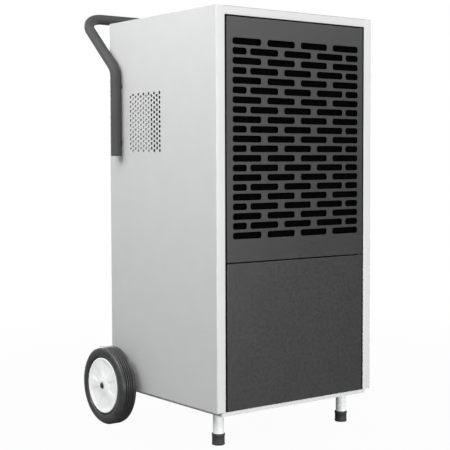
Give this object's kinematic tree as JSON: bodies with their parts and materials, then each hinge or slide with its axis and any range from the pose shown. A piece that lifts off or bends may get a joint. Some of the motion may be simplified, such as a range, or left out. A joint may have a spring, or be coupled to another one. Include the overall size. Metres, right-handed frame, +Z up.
{
  "type": "commercial dehumidifier",
  "caption": "Tall sheet-steel dehumidifier with a slotted filter door, pull-out water tank, rear wheels, front legs and a bent-tube push handle.",
  "frame": {"origin": "on the floor, under the middle of the bounding box", "axes": "+Z up, the front panels face -Y, +X to the right of someone facing the front"},
  "size_m": [0.612, 0.5749, 1.0461],
  "materials": {
    "white_paint": "fine-textured satin powder coat, cool white",
    "anthracite_paint": "fine-textured satin powder coat, anthracite",
    "handle_paint": "satin powder coat, dark grey",
    "bright_steel": "zinc-plated, slightly brushed",
    "galvanised_steel": "galvanised sheet with faint spangle",
    "fin_aluminium": "plain fin stock",
    "copper": "drawn copper, slightly dulled",
    "black_paint": "black stove enamel",
    "foot_rubber": "moulded rubber, dark grey",
    "tyre_rubber": "solid rubber tyre, black",
    "white_plastic": "moulded, slightly glossy white",
    "black_plastic": "fine-grained moulded plastic, black",
    "display_plastic": "smoked clear plastic",
    "tank_plastic": "moulded polypropylene, pale grey"
  },
  "bodies": {
    "chassis": {"base_pan": "white_paint", "left_side_panel": "white_paint", "right_side_panel": "white_paint", "top_panel": "white_paint", "rear_panel": "white_paint", "power_gland": "black_plastic", "drain_port": "black_plastic", "upper_hinge_pin": "bright_steel", "lower_hinge_bracket": "bright_steel", "door_catch": "black_plastic", "left_tank_rail": "galvanised_steel", "right_tank_rail": "galvanised_steel", "left_leg": "bright_steel", "right_leg": "bright_steel", "left_foot": "foot_rubber", "right_foot": "foot_rubber", "left_wheel_cap": "black_plastic", "right_wheel_cap": "black_plastic", "left_axle_bracket": "bright_steel", "right_axle_bracket": "bright_steel", "handle_tube": "handle_paint", "left_handle_cap": "black_plastic", "right_handle_cap": "black_plastic", "left_handle_bolt_1": "bright_steel", "left_handle_bolt_2": "bright_steel", "right_handle_bolt_1": "bright_steel", "right_handle_bolt_2": "bright_steel", "mid_shelf": "galvanised_steel", "drip_tray": "black_plastic", "evaporator": "fin_aluminium", "condenser": "fin_aluminium", "compressor": "black_paint", "compressor_grommet_1": "foot_rubber", "compressor_grommet_2": "foot_rubber", "compressor_grommet_3": "foot_rubber", "accumulator": "black_paint", "discharge_line": "copper", "suction_line": "copper", "liquid_line": "copper", "filter_drier": "copper", "capillary_tube": "copper", "fan_shroud": "galvanised_steel", "fan_motor": "black_paint", "electrical_box": "galvanised_steel", "control_panel": "black_plastic", "display_window": "display_plastic"},
    "door": {"grille_door": "anthracite_paint", "air_filter": "black_plastic"},
    "tank": {"tank_front": "anthracite_paint", "water_tank": "tank_plastic"},
    "float": {"tank_float": "white_plastic"},
    "left_wheel": {"left_tyre": "tyre_rubber", "left_rim": "white_plastic"},
    "right_wheel": {"right_tyre": "tyre_rubber", "right_rim": "white_plastic"},
    "fan": {"fan_impeller": "black_plastic"},
    "power_key": {"power_button": "white_plastic"},
    "mode_key": {"mode_button": "white_plastic"},
    "down_key": {"down_button": "white_plastic"},
    "up_key": {"up_button": "white_plastic"}
  },
  "joints": [
    {"name": "door_hinge", "type": "hinge", "parent": "chassis", "child": "door", "pos_m": [0.206, -0.2826, 0.7075], "axis": [0, 0, 1], "range_deg": [0, 110]},
    {"name": "tank_slide", "type": "slide", "parent": "chassis", "child": "tank", "axis": [0, -1, 0], "range_m": [0, 0.22]},
    {"name": "float_hinge", "type": "hinge", "parent": "tank", "child": "float", "pos_m": [0.1, -0.0376, 0.366], "axis": [-1, 0, 0], "range_deg": [0, 35]},
    {"name": "left_wheel_spin", "type": "hinge", "parent": "chassis", "child": "left_wheel", "pos_m": [-0.281, 0.1124, 0.098], "axis": [1, 0, 0], "continuous": true},
    {"name": "right_wheel_spin", "type": "hinge", "parent": "chassis", "child": "right_wheel", "pos_m": [0.281, 0.1124, 0.098], "axis": [1, 0, 0], "continuous": true},
    {"name": "fan_spin", "type": "hinge", "parent": "chassis", "child": "fan", "pos_m": [0.03, -0.0636, 0.7], "axis": [0, 1, 0], "continuous": true},
    {"name": "power_button_press", "type": "slide", "parent": "chassis", "child": "power_key", "axis": [0, 0, -1], "range_m": [0, 0.001], "stiffness_N_per_m": 400, "springref_m": -0.001},
    {"name": "mode_button_press", "type": "slide", "parent": "chassis", "child": "mode_key", "axis": [0, 0, -1], "range_m": [0, 0.001], "stiffness_N_per_m": 400, "springref_m": -0.001},
    {"name": "down_button_press", "type": "slide", "parent": "chassis", "child": "down_key", "axis": [0, 0, -1], "range_m": [0, 0.001], "stiffness_N_per_m": 400, "springref_m": -0.001},
    {"name": "up_button_press", "type": "slide", "parent": "chassis", "child": "up_key", "axis": [0, 0, -1], "range_m": [0, 0.001], "stiffness_N_per_m": 400, "springref_m": -0.001}
  ]
}
